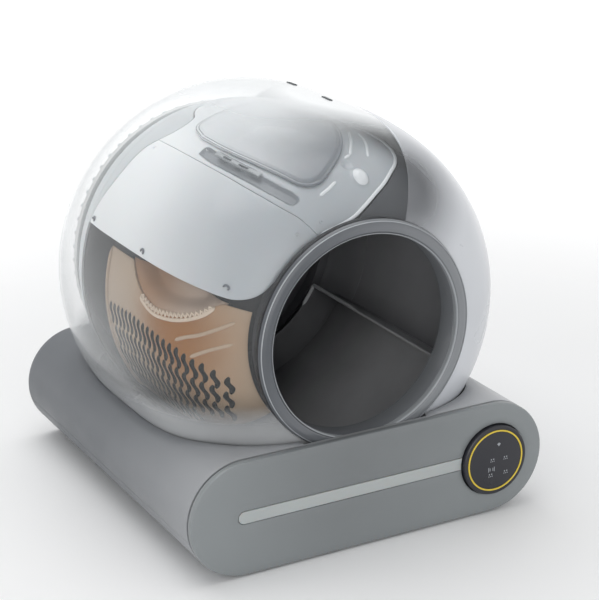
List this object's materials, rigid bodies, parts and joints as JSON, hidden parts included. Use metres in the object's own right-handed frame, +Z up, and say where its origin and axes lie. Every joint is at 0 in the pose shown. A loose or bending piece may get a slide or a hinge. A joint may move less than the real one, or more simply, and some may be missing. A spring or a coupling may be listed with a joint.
{
  "type": "self cleaning litter box",
  "caption": "Round pet toilet globe with a front entry on a low rounded base; a drum inside turns to sift litter into a front drawer.",
  "frame": {"origin": "middle of the footprint, on the surface that the feet stand on", "axes": "+Z up, +Y from the entry to the back along the drum's axis, +X to the right seen from the entry"},
  "size_m": [0.524, 0.5556, 0.5402],
  "materials": {
    "base_grey": "satin grey moulded plastic",
    "front_grey": "smooth grey moulded plastic",
    "inner_grey": "textured grey inner moulding",
    "screw_steel": "zinc plated steel",
    "black_plastic": "black moulded plastic",
    "motor_metal": "plated motor can",
    "board_green": "green circuit board",
    "globe_clear": "clear moulded plastic",
    "globe_white": "smooth white plastic",
    "latch_grey": "dark grey plastic",
    "collar_grey": "satin blue-grey plastic",
    "gasket_rubber": "pale grey soft rubber",
    "pod_black": "black moulded plastic",
    "pod_glass": "dark touch panel",
    "pod_gold": "thin gold ring",
    "foot_rubber": "dark rubber pad",
    "cell_aluminium": "milled aluminium",
    "strip_diffuser": "frosted light strip",
    "bin_grey": "dark grey plastic bin",
    "drum_grey": "dark grey textured plastic",
    "drum_clear": "clear moulded plastic",
    "drum_pale": "pale grey plastic",
    "hood_white": "smooth white plastic",
    "clip_grey": "light grey plastic",
    "sieve_beige": "beige plastic screen",
    "liner_dark": "dark soft liner",
    "bearing_white": "natural slide plastic",
    "roller_rubber": "black roller tyre"
  },
  "bodies": {
    "base": {"base_tray": "base_grey", "base_deck": "base_grey", "front_frame": "inner_grey", "rear_cover": "base_grey", "rear_cover_screw_1": "screw_steel", "rear_cover_screw_2": "screw_steel", "rear_cover_screw_3": "screw_steel", "rear_cover_screw_4": "screw_steel", "power_inlet": "black_plastic", "globe_seat_ring": "inner_grey", "rear_bulkhead": "inner_grey", "roller_axle_left": "screw_steel", "roller_axle_right": "screw_steel", "gearbox": "motor_metal", "drive_motor": "motor_metal", "home_sensor": "board_green", "main_board": "board_green", "globe_clear_half": "globe_clear", "globe_white_half": "globe_white", "globe_seam_latch_1": "latch_grey", "globe_seam_latch_2": "latch_grey", "entry_collar": "collar_grey", "entry_gasket": "gasket_rubber", "pod_housing": "pod_black", "pod_glass": "pod_glass", "pod_gold_ring": "pod_gold", "pod_board": "board_green", "foot_front_left": "foot_rubber", "foot_front_right": "foot_rubber", "foot_rear_left": "foot_rubber", "foot_rear_right": "foot_rubber", "load_cell_front_left": "cell_aluminium", "load_cell_front_right": "cell_aluminium", "load_cell_rear_left": "cell_aluminium", "load_cell_rear_right": "cell_aluminium", "drawer_rail_left": "inner_grey", "drawer_rail_right": "inner_grey"},
    "drawer": {"drawer_front": "front_grey", "light_strip": "strip_diffuser", "waste_bin": "bin_grey"},
    "drum": {"drum_shell": "drum_grey", "drum_window": "drum_clear", "drum_rear_shell": "drum_pale", "hood_lower_panel": "hood_white", "hood_upper_panel": "hood_white", "hood_clip_1": "clip_grey", "hood_clip_2": "clip_grey", "hood_clip_3": "clip_grey", "waste_chamber_wall": "drum_grey", "sieve_screen": "sieve_beige", "litter_liner": "liner_dark", "front_bearing_ring": "bearing_white", "rear_track_ring": "drum_pale", "ring_gear": "drum_pale", "home_magnet": "screw_steel"},
    "port_door": {"port_door": "hood_white", "door_catch_bar": "clip_grey"},
    "left_roller": {"drum_roller_left": "roller_rubber"},
    "right_roller": {"drum_roller_right": "roller_rubber"},
    "pinion": {"drive_pinion": "bearing_white"}
  },
  "joints": [
    {"name": "drum_spin", "type": "hinge", "parent": "base", "child": "drum", "pos_m": [0, 0, 0.2782], "axis": [0, 1, 0], "continuous": true},
    {"name": "port_door_slide", "type": "hinge", "parent": "drum", "child": "port_door", "pos_m": [0, 0, 0.2782], "axis": [0, 1, 0], "range_deg": [-38, 0]},
    {"name": "drawer_slide", "type": "slide", "parent": "base", "child": "drawer", "axis": [0, -1, 0], "range_m": [0, 0.3]},
    {"name": "left_roller_spin", "type": "hinge", "parent": "base", "child": "left_roller", "pos_m": [-0.12696, 0.1985, 0.09688], "axis": [0, 1, 0], "continuous": true},
    {"name": "right_roller_spin", "type": "hinge", "parent": "base", "child": "right_roller", "pos_m": [0.12696, 0.1985, 0.09688], "axis": [0, 1, 0], "continuous": true},
    {"name": "pinion_spin", "type": "hinge", "parent": "base", "child": "pinion", "pos_m": [-0.08123, 0.2076, 0.05502], "axis": [0, 1, 0], "continuous": true}
  ],
  "couplings": [
    {"joint": "left_roller_spin", "follows": "drum_spin", "ratio": -14.786},
    {"joint": "right_roller_spin", "follows": "drum_spin", "ratio": -14.786},
    {"joint": "pinion_spin", "follows": "drum_spin", "ratio": -5.3333}
  ]
}
